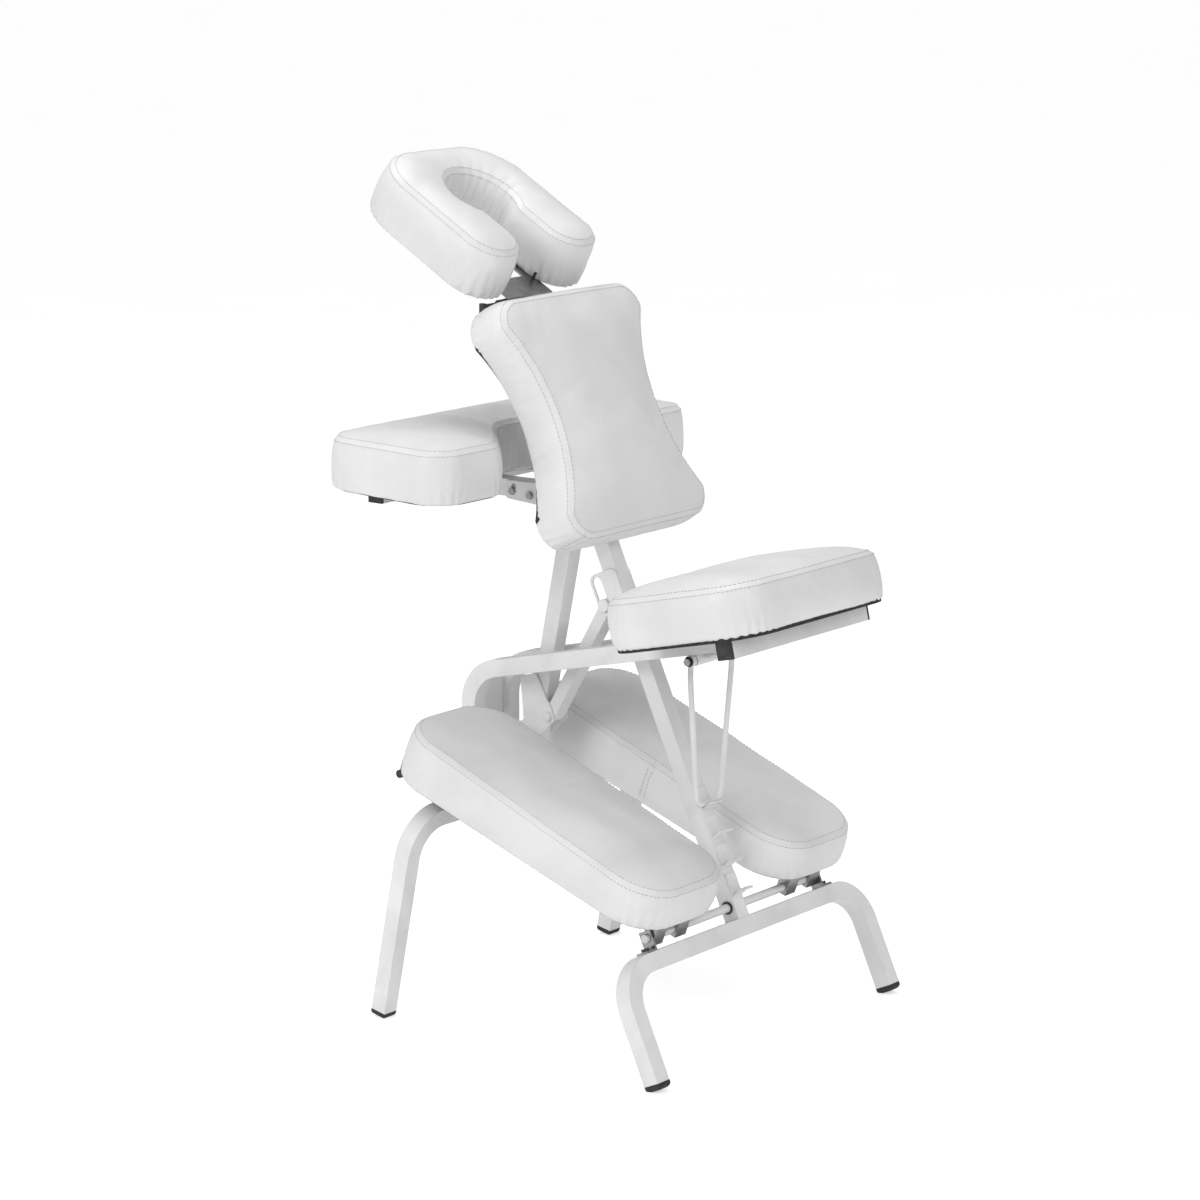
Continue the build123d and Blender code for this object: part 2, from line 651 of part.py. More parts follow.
# ---------------------------------------------------------------- chest pad
with BuildPart() as chest_mount:
    block(REAR, (-50, 50), (CHEST_S - 120, CHEST_S + 120), (HALF, HALF + CHEST_MOUNT))
    screw_holes(REAR, CHEST_SCREWS, HALF, CHEST_MOUNT)
finish(chest_mount, "chest_mount")


def chest_outline(inset):
    """Chest pad outline: hourglass sides between rounded ends."""
    top = CHEST_S + CHEST_SPAN[1] - inset
    low = CHEST_S + CHEST_SPAN[0] + inset
    waist = CHEST_WAIST - inset
    wide = CHEST_WIDE - inset
    with BuildLine() as edge:
        Polyline((-wide, top - CHEST_CORNER), (-wide, top), (wide, top), (wide, top - CHEST_CORNER))
        ThreePointArc((wide, top - CHEST_CORNER), (waist, CHEST_S - 2), (wide, low + CHEST_CORNER))
        Polyline((wide, low + CHEST_CORNER), (wide, low), (-wide, low), (-wide, low + CHEST_CORNER))
        ThreePointArc((-wide, low + CHEST_CORNER), (-waist, CHEST_S - 2), (-wide, top - CHEST_CORNER))
    make_face(edge.edges())


with BuildPart() as chest_board:
    with BuildSketch(REAR.offset(HALF + CHEST_MOUNT)) as board_outline:
        chest_outline(8)
        fillet(board_outline.vertices().group_by(Axis.Y)[0], CHEST_CORNER - 4)
        fillet(board_outline.vertices().group_by(Axis.Y)[-1], CHEST_CORNER - 4)
    extrude(amount=BOARD)
    screw_holes(REAR, CHEST_SCREWS, HALF + CHEST_MOUNT, BOARD)
finish(chest_board, "chest_board")

with BuildPart() as chest_screws:
    screws(REAR, CHEST_SCREWS, HALF, CHEST_MOUNT + BOARD)
finish(chest_screws, "chest_screws")

with BuildPart() as chest_cushion:
    with BuildSketch(REAR.offset(HALF + CHEST_MOUNT + BOARD)) as cushion_outline:
        chest_outline(0)
        fillet(cushion_outline.vertices().group_by(Axis.Y)[0], CHEST_CORNER - 2)
        fillet(cushion_outline.vertices().group_by(Axis.Y)[-1], CHEST_CORNER - 2)
    extrude(amount=CHEST_THICK - BOARD + CHEST_CROWN)
    fillet(chest_cushion.faces().sort_by(Axis((0, 0, 0), REAR.z_dir))[-1].edges(), 20)
finish(chest_cushion, "chest_cushion")

# ---------------------------------------------------------------- armrest
ARM_MID_Z = (ARM_TUBE_Z[0] + ARM_TUBE_Z[1]) / 2
ARM = lying_plane(0, ARM_MID_Z, 0)
ARM_CROSS = lying_plane(ARM_TUBE_Y[1] + HALF, ARM_MID_Z, 0)
ARM_SCREWS = [(x, ARM_TUBE_Y[1] + HALF) for x in (-120, -60, 60, 120)]
with BuildPart() as arm_tube:
    block(ARM, (-MAST_HALF, MAST_HALF), ARM_TUBE_Y, (-HALF, HALF))
    inner = HALF - WALL
    block(ARM, (-MAST_HALF + WALL, MAST_HALF - WALL), ARM_TUBE_Y, (-inner, inner), mode=Mode.SUBTRACT)
    cross_pin(ARM_PIVOT, ARM_BOLT / 2, (-TUBE, TUBE), mode=Mode.SUBTRACT)
    cross_pin(ARM_LOCK, ARM_BOLT / 2, (-TUBE, TUBE), mode=Mode.SUBTRACT)
finish(arm_tube, "arm_tube")

with BuildPart() as arm_bolts:
    for point in (ARM_PIVOT, ARM_LOCK):
        through_bolt(point, ARM_BOLT / 2, HALF + PLATE + RUN_GAP)
finish(arm_bolts, "arm_bolts")

with BuildPart() as arm_cross_tube:
    block(ARM_CROSS, (-ARM_CROSS_HALF, ARM_CROSS_HALF), (-HALF, HALF), (-HALF, HALF))
    inner = HALF - WALL
    block(ARM_CROSS, (-ARM_CROSS_HALF, ARM_CROSS_HALF), (-inner, inner), (-inner, inner), mode=Mode.SUBTRACT)
    for x in (-90, 90):
        block(ARM, (x - 50, x + 50), (ARM_TUBE_Y[1], ARM_TUBE_Y[1] + TUBE), (HALF, ARM_BOARD_Z - ARM_MID_Z))
    screw_holes(ARM, ARM_SCREWS, -HALF, 2 * TUBE)
finish(arm_cross_tube, "arm_cross_tube")
finish(tube_caps(ARM_CROSS, ARM_CROSS_HALF), "arm_cross_caps")


def arm_outline(inset):
    """Armrest outline: straight front, rounded lobes and a recess for the chest."""
    with BuildSketch(lying_plane(0, ARM_BOARD_Z, 0).offset(0 if inset else BOARD)) as outline:
        with BuildLine():
            Polyline(
                (0, 497 + inset),
                (158 + inset, 362 + inset),
                (290 - inset, 362 + inset),
                (262 - inset, 612 - inset),
                (-262 + inset, 612 - inset),
                (-290 + inset, 362 + inset),
                (-158 - inset, 362 + inset),
                close=True,
            )
        make_face()
        fillet(outline.vertices().group_by(Axis.Y)[-1], 64)
        fillet(outline.vertices().group_by(Axis.Y)[0], ARM_REAR_CORNER)
        fillet(outline.vertices().sort_by(lambda v: abs(v.X))[0], 66)
    return outline


with BuildPart() as arm_board:
    extrude(arm_outline(6).sketch, amount=BOARD)
    screw_holes(ARM, ARM_SCREWS, ARM_BOARD_Z - ARM_MID_Z, BOARD)
finish(arm_board, "arm_board")

with BuildPart() as arm_screws:
    screws(ARM, ARM_SCREWS, -HALF, ARM_BOARD_Z + BOARD - ARM_TUBE_Z[0])
finish(arm_screws, "arm_screws")

with BuildPart() as arm_cushion:
    extrude(arm_outline(0).sketch, amount=ARM_SEAM_Z + ARM_CROWN - ARM_BOARD_Z - BOARD)
    fillet(arm_cushion.faces().sort_by(Axis.Z)[-1].edges(), 20)
finish(arm_cushion, "arm_cushion")

# ---------------------------------------------------------------- face cradle
STEM_HALF = STEM / 2
CRADLE_PIVOT = (REAR_START_Y + STEM_S[1] * UP_Y, STEM_S[1] * UP_Z)
with BuildPart() as cradle_stem:
    block(REAR, (-STEM_HALF, STEM_HALF), STEM_S, (-STEM_HALF, STEM_HALF))
    cross_pin(CRADLE_PIVOT, STEM_HALF, (-STEM_HALF, STEM_HALF))
    inner = STEM_HALF - WALL
    block(REAR, (-inner, inner), (STEM_S[0], STEM_S[1] - 14), (-inner, inner), mode=Mode.SUBTRACT)
    cross_pin(CRADLE_PIVOT, PIN + RUN_GAP, (-TUBE, TUBE), mode=Mode.SUBTRACT)
finish(cradle_stem, "cradle_stem")

BASE_N = -CRADLE_THICK
CRADLE_SCREWS = [(x, b) for x in (-38, 38) for b in (20, 90)]
EAR = (10.5, 13.5)
with BuildPart() as cradle_base:
    block(CRADLE, (-48, 48), (-12, 30), (BASE_N - PLATE, BASE_N))
    for arm_x in (-38, 38):
        block(CRADLE, (arm_x - 10, arm_x + 10), (0, 120), (BASE_N - PLATE, BASE_N))
    for xs in ((-EAR[1], -EAR[0]), EAR):
        block(CRADLE, xs, (-12, 8), (BASE_N - 24, BASE_N))
        cross_pin(CRADLE_PIVOT, PIN, xs, mode=Mode.SUBTRACT)
    screw_holes(CRADLE, CRADLE_SCREWS, BASE_N - PLATE, PLATE)
finish(cradle_base, "cradle_base")

with BuildPart() as cradle_sleeves:
    for xs in ((-38, -EAR[1]), (EAR[1], 38)):
        cross_pin(CRADLE_PIVOT, 7.0, xs)
        cross_pin(CRADLE_PIVOT, PIN, xs, mode=Mode.SUBTRACT)
finish(cradle_sleeves, "cradle_sleeves")

with BuildPart() as cradle_bolt:
    cross_pin(CRADLE_PIVOT, PIN, (-42, 40))
    hex_end(CRADLE_PIVOT, 10, (38, 42))
finish(cradle_bolt, "cradle_bolt")

with BuildPart() as cradle_lever:
    cross_pin(CRADLE_PIVOT, 6.5, (-52, -38 - RUN_GAP))
    cross_pin(CRADLE_PIVOT, PIN + RUN_GAP, (-42 - RUN_GAP, -38), mode=Mode.SUBTRACT)
    cross_pin(CRADLE_PIVOT, PIN + 0.5, (-LEVER_REACH, -52))
    block(ARM, (-LEVER_REACH - 6, -LEVER_REACH), (CRADLE_PIVOT[0] - 4, CRADLE_PIVOT[0] + 4),
          (CRADLE_PIVOT[1] - ARM_MID_Z - 18, CRADLE_PIVOT[1] - ARM_MID_Z + 5))
finish(cradle_lever, "cradle_lever")


def cradle_outline(inset):
    """Horseshoe outline: round head, two lobes and a keyhole opening for the face."""
    half = CRADLE_HALF - inset
    low = CRADLE_SPAN[0] + inset
    high = CRADLE_SPAN[1] - inset
    neck = 33 + inset
    head = 50 + inset
    with BuildSketch(CRADLE.offset(BASE_N + (0 if inset else BOARD))) as outline:
        with BuildLine():
            FilletPolyline((-half, low), (-half, high), (half, high), (half, low), radius=86 - inset)
            Line((half, low), (-half, low))
        make_face()
        with Locations((0, 131)):
            Circle(head, mode=Mode.SUBTRACT)
        with Locations((0, (low + 131) / 2)):
            Rectangle(2 * neck, 131 - low, mode=Mode.SUBTRACT)
        ends = outline.vertices().group_by(Axis.Y)[0]
        fillet(ends, (half - neck) / 2 - 2)
    return outline


with BuildPart() as cradle_board:
    extrude(cradle_outline(8).sketch, amount=BOARD)
    screw_holes(CRADLE, CRADLE_SCREWS, BASE_N, BOARD)
finish(cradle_board, "cradle_board")

with BuildPart() as cradle_screws:
    screws(CRADLE, CRADLE_SCREWS, BASE_N - PLATE, PLATE + BOARD)
finish(cradle_screws, "cradle_screws")

with BuildPart() as cradle_cushion:
    extrude(cradle_outline(0).sketch, amount=CRADLE_THICK - BOARD + CRADLE_CROWN)
    fillet(cradle_cushion.faces().sort_by(Axis((0, 0, 0), CRADLE.z_dir))[-1].edges(), 14)
finish(cradle_cushion, "cradle_cushion")
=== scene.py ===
import json
from dataclasses import dataclass
from math import atan2, cos, exp, pi, radians, sin

import bmesh
import bpy
from mathutils import Matrix, Vector, noise
from mathutils.bvhtree import BVHTree
from mathutils.kdtree import KDTree


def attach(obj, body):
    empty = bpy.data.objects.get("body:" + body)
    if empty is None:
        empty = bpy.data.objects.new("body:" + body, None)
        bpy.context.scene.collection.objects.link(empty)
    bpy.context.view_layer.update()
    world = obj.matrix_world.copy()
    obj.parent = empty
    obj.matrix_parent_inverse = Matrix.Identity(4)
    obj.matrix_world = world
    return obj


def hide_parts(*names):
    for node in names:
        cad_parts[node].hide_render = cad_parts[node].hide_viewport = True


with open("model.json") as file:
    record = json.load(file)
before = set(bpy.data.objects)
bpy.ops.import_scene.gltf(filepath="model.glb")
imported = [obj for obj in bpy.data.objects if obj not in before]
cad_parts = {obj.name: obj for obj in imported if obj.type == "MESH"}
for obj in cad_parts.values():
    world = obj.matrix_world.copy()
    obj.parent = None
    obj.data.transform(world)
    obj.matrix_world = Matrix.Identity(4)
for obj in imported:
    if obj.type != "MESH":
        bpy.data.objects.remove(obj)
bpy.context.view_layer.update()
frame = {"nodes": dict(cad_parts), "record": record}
NODES = frame["nodes"]

# ---------------------------------------------------------------- sizes (metres)
MM = 0.001
VOXEL = 5 * MM
OUTLINE_STEP = 4 * MM
BOARD = 12 * MM
WRAP_WIDTH = 24 * MM
STITCH_PITCH = 6.2 * MM
STITCH_LENGTH = 4.4 * MM
THREAD = 0.42 * MM
SEAM_SIDE = 4.2 * MM

# ---------------------------------------------------------------- cloth simulation
CLOTH_FRAMES = 20
CLOTH = {
    "quality": 5,
    "mass": 0.3,
    "tension_stiffness": 15,
    "compression_stiffness": 12,
    "shear_stiffness": 6,
    "bending_stiffness": 0.6,
    "use_pressure": True,
    "uniform_pressure_force": 4,
    "shrink_min": -0.008,
    "vertex_group_mass": "pin",
}
SETTLE_STEPS = 5
SETTLE_FACTOR = 0.5


@dataclass
class Pad:
    """One upholstered pad: what it stands for, and how its cover is cut and filled.

    The crown is how far the seam lies under the top, the dome how far in from the seam the top goes on
    rising, and the swell how far a point may move as the cover is filled. Joins are (x, y) places near
    the joins of the wall, and the wrap is how far the cover reaches below the board.
    """

    name: str
    body: str
    crown: float
    dome: float
    swell: float
    seed: int
    fill: float
    gathers: float = 0.3
    joins: tuple = ()
    wrap: float = 0.6 * MM


PADS = [
    # The seat's cover stops 2.5 mm short of the board's underside, so a black strip of board shows below it
    # as painted shadow under the seat cushion.
    Pad("seat_cushion", "seat", 17 * MM, 80 * MM, 5 * MM, 3, 0.7, wrap=-2.5 * MM),
    Pad("knee_cushion_left", "knee_rest_left", 11 * MM, 70 * MM, 5 * MM, 11, 0.75, joins=((0.1, 0.012),)),
    Pad("knee_cushion_right", "knee_rest_right", 11 * MM, 70 * MM, 5 * MM, 17, 0.75, joins=((-0.1, 0.012),)),
    Pad("chest_cushion", "rear_frame", 16 * MM, 90 * MM, 4 * MM, 23, 0.7, joins=((-0.13, -0.17),)),
    Pad("arm_cushion", "armrest", 12 * MM, 70 * MM, 5 * MM, 31, 0.7, joins=((0.1, 0.14),)),
    Pad("cradle_cushion", "face_cradle", 10 * MM, 42 * MM, 4 * MM, 41, 0.7, gathers=0.5),
]


# ---------------------------------------------------------------- materials
class Shader:
    """A principled material and short ways to add procedural nodes to it."""

    def __init__(self, name, color, roughness, metallic=0.0):
        self.material = bpy.data.materials.new(name)
        self.material.use_nodes = True
        self.tree = self.material.node_tree
        self.out = self.tree.nodes["Principled BSDF"]
        self.out.inputs["Base Color"].default_value = (*color, 1)
        self.out.inputs["Roughness"].default_value = roughness
        self.out.inputs["Metallic"].default_value = metallic
        self.place = self.tree.nodes.new("ShaderNodeTexCoord").outputs["Object"]

    def node(self, kind, **values):
        made = self.tree.nodes.new(kind)
        for key, value in values.items():
            if key in made.inputs:
                made.inputs[key].default_value = value
            else:
                setattr(made, key, value)
        return made

    def noise(self, scale, detail=3.0, distortion=0.0, stretch=None):
        source = self.place
        if stretch:
            mapping = self.node("ShaderNodeMapping")
            mapping.inputs["Scale"].default_value = stretch
            self.tree.links.new(source, mapping.inputs["Vector"])
            source = mapping.outputs["Vector"]
        made = self.node("ShaderNodeTexNoise", Scale=scale, Detail=detail, Distortion=distortion)
        self.tree.links.new(source, made.inputs["Vector"])
        return made.outputs["Fac"]

    def cells(self, scale):
        made = self.node("ShaderNodeTexVoronoi", Scale=scale)
        self.tree.links.new(self.place, made.inputs["Vector"])
        return made.outputs["Distance"]

    def ramp(self, value, stops):
        made = self.node("ShaderNodeValToRGB")
        made.color_ramp.elements[0].position = stops[0][0]
        made.color_ramp.elements[0].color = (*stops[0][1], 1)
        made.color_ramp.elements[1].position = stops[1][0]
        made.color_ramp.elements[1].color = (*stops[1][1], 1)
        self.tree.links.new(value, made.inputs["Fac"])
        return made.outputs["Color"]

    def color(self, value, stops):
        self.tree.links.new(self.ramp(value, stops), self.out.inputs["Base Color"])

    def roughness(self, value, low, high):
        span = self.node("ShaderNodeMapRange")
        span.inputs["To Min"].default_value = low
        span.inputs["To Max"].default_value = high
        self.tree.links.new(value, span.inputs["Value"])
        self.tree.links.new(span.outputs["Result"], self.out.inputs["Roughness"])

    def bumps(self, layers, edge=0.0):
        """Layers of (height, distance, strength), over edges softened by a radius where it is given."""
        normal = None
        if edge:
            rounded = self.node("ShaderNodeBevel", Radius=edge, samples=4)
            normal = rounded.outputs["Normal"]
        for height, distance, strength in layers:
            bump = self.node("ShaderNodeBump", Distance=distance, Strength=strength)
            self.tree.links.new(height, bump.inputs["Height"])
            if normal:
                self.tree.links.new(normal, bump.inputs["Normal"])
            normal = bump.outputs["Normal"]
        if normal:
            self.tree.links.new(normal, self.out.inputs["Normal"])


def vinyl_material():
    """White upholstery vinyl: fine leather grain, soft creases, faint handling marks."""
    s = Shader("white_vinyl", (0.80, 0.80, 0.795), 0.42)
    s.out.inputs["Specular IOR Level"].default_value = 0.45
    s.color(s.noise(7, 5, 0.4), [(0.35, (0.72, 0.72, 0.72)), (0.65, (0.8, 0.8, 0.798))])
    s.roughness(s.noise(38, 4), 0.34, 0.52)
    s.bumps([
        (s.noise(26, 3, 1.2), 1.6 * MM, 0.32),
        (s.noise(120, 4, 0.8), 0.5 * MM, 0.22),
        (s.cells(820), 0.14 * MM, 0.35),
    ])
    return s.material


def frame_material():
    """White powder coat: faint orange peel, rounded tube edges and a few duller patches."""
    s = Shader("white_frame", (0.82, 0.82, 0.82), 0.32)
    s.color(s.noise(14, 5, 0.6), [(0.3, (0.74, 0.74, 0.735)), (0.62, (0.83, 0.83, 0.83))])
    s.roughness(s.noise(60, 4), 0.24, 0.42)
    s.bumps([(s.noise(420, 2), 0.12 * MM, 0.25), (s.noise(45, 3), 0.25 * MM, 0.15)], edge=1.8 * MM)
    return s.material


def rubber_material(name, tone, roughness):
    """Black moulded feet and caps: matt with a fine moulded texture and greyer scuffs."""
    s = Shader(name, (tone, tone, tone), roughness)
    s.color(s.noise(90, 5, 0.5), [(0.4, (tone, tone, tone)), (0.75, (tone * 3, tone * 3, tone * 3.1))])
    s.roughness(s.noise(140, 3), roughness - 0.1, roughness + 0.12)
    s.bumps([(s.noise(900, 3), 0.12 * MM, 0.4)], edge=0.8 * MM)
    return s.material


def metal_material(name, tone, low, high, stretch):
    """Plated steel: drawn or rolled streaks and a slightly cloudy plating."""
    s = Shader(name, (tone, tone, tone), low, metallic=1.0)
    s.color(s.noise(60, 5, 0.5), [(0.3, (tone * 0.82,) * 3), (0.7, (tone * 1.12, tone * 1.12, tone * 1.1))])
    s.roughness(s.noise(40, 4, stretch=stretch), low, high)
    s.bumps([(s.noise(300, 3, stretch=stretch), 0.08 * MM, 0.3)], edge=0.5 * MM)
    return s.material


def board_and_shadow_material():
    """Black dust cover over the pad's board: a close plain weave. The strip of it left bare under the seat
    is painted shadow: it stands in for the dark line below the seat cushion.
    """
    s = Shader("board_cover", (0.02, 0.02, 0.021), 0.85)
    s.color(s.noise(110, 4), [(0.35, (0.014, 0.014, 0.015)), (0.7, (0.04, 0.04, 0.041))])
    weave = s.node("ShaderNodeTexWave", Scale=520.0)
    s.tree.links.new(s.place, weave.inputs["Vector"])
    s.bumps([(weave.outputs["Fac"], 0.2 * MM, 0.5), (s.noise(800, 2), 0.15 * MM, 0.4)], edge=1.0 * MM)
    return s.material


def thread_material():
    """Polyester sewing thread: a twisted, slightly grey white."""
    s = Shader("thread", (0.5, 0.5, 0.5), 0.6)
    s.color(s.noise(300, 3), [(0.3, (0.42, 0.42, 0.42)), (0.7, (0.58, 0.58, 0.58))])
    wave = s.node("ShaderNodeTexWave", Scale=900.0, bands_direction="DIAGONAL")
    s.tree.links.new(s.place, wave.inputs["Vector"])
    s.bumps([(wave.outputs["Fac"], 0.15 * MM, 0.6)])
    return s.material


VINYL = vinyl_material()
THREAD_WHITE = thread_material()
SLOTS = {
    "white_frame": frame_material(),
    "white_vinyl": VINYL,
    "plywood": board_and_shadow_material(),
    "black_rubber": rubber_material("black_rubber", 0.012, 0.55),
    "black_plastic": rubber_material("black_plastic", 0.015, 0.42),
    "zinc_plated_steel": metal_material("zinc_plated_steel", 0.36, 0.22, 0.4, (1, 8, 8)),
    "black_steel": metal_material("black_steel", 0.10, 0.3, 0.5, (4, 1, 1)),
}


def dress_frame():
    """Give every CAD node the finish of its record slot."""
    slots = {part["node"]: part["material_slot"] for part in frame["record"]["subparts"]}
    for name, node in NODES.items():
        node.data.materials.clear()
        node.data.materials.append(SLOTS[slots[name]])


# ---------------------------------------------------------------- cushion shapes
def flat_side(bm, upward):
    """The largest flat group of faces that looks up or down: (faces, normal)."""
    groups = {}
    for face in bm.faces:
        if (face.normal.z > 0) == upward:
            key = tuple(round(c, 2) for c in face.normal)
            groups.setdefault(key, []).append(face)
    faces = max(groups.values(), key=lambda group: sum(f.calc_area() for f in group))
    return faces, faces[0].normal.copy()


def boundary_loop(faces):
    """Points round the edge of a flat group of faces, in order."""
    inside = set(faces)
    rim = (e for f in faces for e in f.edges if len([g for g in e.link_faces if g in inside]) == 1)
    edges = list(dict.fromkeys(rim))
    follow = {}
    for e in edges:
        for v in e.verts:
            follow.setdefault(v, []).append(e)
    start = min(follow, key=lambda v: tuple(v.co))
    loop, used, v = [], set(), start
    while True:
        loop.append(v.co.copy())
        e = next((e for e in follow[v] if e not in used), None)
        if e is None:
            break
        used.add(e)
        v = e.other_vert(v)
        if v is start:
            break
    return loop


def resample(points, step):
    """Closed loop with evenly spaced points, counter-clockwise."""
    area = sum(a.x * b.y - b.x * a.y for a, b in zip(points, points[1:] + points[:1]))
    if area < 0:
        points = points[::-1]
    spans = [(b - a).length for a, b in zip(points, points[1:] + points[:1])]
    total = sum(spans)
    count = round(total / step)
    made, i, walked = [], 0, 0.0
    for k in range(count):
        target = total * k / count
        while walked + spans[i] < target:
            walked += spans[i]
            i += 1
        a, b = points[i], points[(i + 1) % len(points)]
        made.append(a.lerp(b, (target - walked) / max(spans[i], 1e-9)))
    return made


def normals_2d(loop):
    """Outward normal at each point of a counter-clockwise loop."""
    made = []
    for before, after in zip(loop[-1:] + loop[:-1], loop[1:] + loop[:1]):
        way = after - before
        made.append(Vector((way.y, -way.x, 0)).normalized())
    return made


def bends(loop, reach=6):
    """Signed curvature of a loop, per metre, smoothed over its neighbours: positive on outer corners."""
    n = len(loop)
    turns = []
    for i in range(n):
        a = loop[i] - loop[i - reach]
        b = loop[(i + reach) % n] - loop[i]
        turns.append(atan2(a.x * b.y - a.y * b.x, a.x * b.x + a.y * b.y) / (reach * OUTLINE_STEP))
    return turns


class Cut:
    """A cushion's own axes, outline and heights, read from its CAD solid."""

    def __init__(self, pad):
        bm = bmesh.new()
        bm.from_mesh(NODES[pad.name].data)
        bmesh.ops.remove_doubles(bm, verts=bm.verts, dist=1e-5)
        bm.normal_update()
        under, down = flat_side(bm, False)
        over, up = flat_side(bm, True)
        z_axis = -down
        x_axis = Vector((1, 0, 0))
        y_axis = z_axis.cross(x_axis).normalized()
        centre = sum((f.calc_center_median() * f.calc_area() for f in under), Vector())
        centre /= sum(f.calc_area() for f in under)
        self.matrix = Matrix((x_axis, y_axis, z_axis)).transposed().to_4x4()
        self.matrix.translation = centre
        back = self.matrix.inverted()
        self.loop = resample([back @ p for p in boundary_loop(under)], OUTLINE_STEP)
        self.top_point = back @ over[0].verts[0].co
        self.top_way = back.to_3x3() @ up
        bm.free()
        self.normals = normals_2d(self.loop)
        self.bends = bends(self.loop)
        self.pad = pad
        self.inner = KDTree(len(self.loop))
        for i, p in enumerate(self.loop):
            self.inner.insert((p.x, p.y, 0), i)
        self.inner.balance()

    def top(self, p):
        """Height of the CAD solid's top plane over a point."""
        flat = p - self.top_point
        return self.top_point.z - (flat.x * self.top_way.x + flat.y * self.top_way.y) / self.top_way.z

    def seam(self, p):
        return self.top(p) - self.pad.crown

    def edge(self, p):
        """(distance inside the outline, nearest outline index) of a point."""
        _, i, _ = self.inner.find((p.x, p.y, 0))
        q = self.loop[i]
        return -(Vector((p.x - q.x, p.y - q.y, 0)).dot(self.normals[i])), i


# (share of the wall's height, inset from the outline in millimetres), from the base to the seam
WALL_PROFILE = ((0.0, 5.0), (0.06, 2.6), (0.2, 1.2), (0.45, 0.6), (0.7, 1.4), (0.88, 3.6), (1.0, 7.0))
SEAM_INSET = WALL_PROFILE[-1][1] * MM
CROWN_START = 1.5 * MM
CROWN_SHARE = 0.72
CROWN_POWER = 2.3
STAPLED = 7 * MM
UNDER_BOARD = 4 * MM


def ring(cut, share, inset):
    """One ring of the cover's wall, at a share of its height and inside the outline by an inset."""
    low = -BOARD - cut.pad.wrap
    made = []
    for p, n in zip(cut.loop, cut.normals):
        q = p - n * inset
        made.append(Vector((q.x, q.y, low + (cut.seam(p) - low) * share)))
    return made


def cover_solid(cut):
    """Closed form of the cover before it is filled: base, shaped wall and flat top panel."""
    bm = bmesh.new()
    rows = [[bm.verts.new(p) for p in ring(cut, share, inset * MM)] for share, inset in WALL_PROFILE]
    for low, high in zip(rows, rows[1:]):
        for i in range(len(low)):
            j = (i + 1) % len(low)
            bm.faces.new((low[i], low[j], high[j], high[i]))
    bm.faces.new(rows[0][::-1])
    bm.faces.new(rows[-1])
    mesh = bpy.data.meshes.new("cover")
    bm.to_mesh(mesh)
    bm.free()
    return mesh


def applied(obj):
    """The object's evaluated mesh, kept in place of its mesh and modifiers."""
    graph = bpy.context.evaluated_depsgraph_get()
    mesh = bpy.data.meshes.new_from_object(obj.evaluated_get(graph))
    obj.modifiers.clear()
    old = obj.data
    obj.data = mesh
    bpy.data.meshes.remove(old)


def remeshed(obj):
    mod = obj.modifiers.new("remesh", "REMESH")
    mod.mode = "VOXEL"
    mod.voxel_size = VOXEL
    applied(obj)


def domed(cut, obj):
    """Raise the top panel into a low crown before it is filled."""
    for v in obj.data.vertices:
        rise = v.co.z - (cut.seam(v.co) - CROWN_START)
        inside = cut.edge(v.co)[0]
        if rise > 0 and inside > SEAM_INSET:
            t = min((inside - SEAM_INSET) / cut.pad.dome, 1)
            v.co.z += (cut.pad.crown * CROWN_SHARE) * (1 - (1 - t) ** CROWN_POWER)


def pinned(cut, obj):
    """Hold the cover where it is sewn and stapled: along the seam and under the base."""
    group = obj.vertex_groups.new(name="pin")
    seam_tree = tree_of(ring(cut, 1, SEAM_INSET))
    for v in obj.data.vertices:
        near = seam_tree.find(v.co)[2]
        base = v.co.z + BOARD
        if near < VOXEL or base < STAPLED:
            group.add([v.index], 1.0, "REPLACE")


def tree_of(points):
    tree = KDTree(len(points))
    for i, p in enumerate(points):
        tree.insert(p, i)
    tree.balance()
    return tree


def filled(cut, obj):
    """Swell the cover by pressure, as foam does, and stop each point at the pad's limit."""
    before = [v.co.copy() for v in obj.data.vertices]
    mod = obj.modifiers.new("cloth", "CLOTH")
    settings = mod.settings
    for key, value in CLOTH.items():
        setattr(settings, key, value)
    settings.effector_weights.gravity = 0
    mod.collision_settings.use_collision = False
    mod.point_cache.frame_start = 1
    mod.point_cache.frame_end = CLOTH_FRAMES
    scene = bpy.context.scene
    for number in range(1, CLOTH_FRAMES + 1):
        scene.frame_set(number)
    applied(obj)
    scene.frame_set(1)
    for v, old in zip(obj.data.vertices, before):
        move = v.co - old
        limit = cut.pad.swell
        if move.length > limit:
            v.co = old + move * (limit / move.length)


def settled(obj):
    """Even out the free parts of a filled cover, because foam carries it from inside."""
    held = obj.vertex_groups["pin"].index
    bm = bmesh.new()
    bm.from_mesh(obj.data)
    weights = bm.verts.layers.deform.active
    free = [v for v in bm.verts if held not in v[weights]]
    for _ in range(SETTLE_STEPS):
        bmesh.ops.smooth_vert(
            bm, verts=free, factor=SETTLE_FACTOR, use_axis_x=True, use_axis_y=True, use_axis_z=True
        )
    bm.to_mesh(obj.data)
    bm.free()


def subdivided(obj):
    mod = obj.modifiers.new("smooth", "SUBSURF")
    mod.levels = 1
    mod.render_levels = 1
    applied(obj)


def loop_gap(cut, i, j):
    """Distance along the outline between two of its points."""
    gap = abs(i - j)
    return min(gap, len(cut.loop) - gap) * OUTLINE_STEP


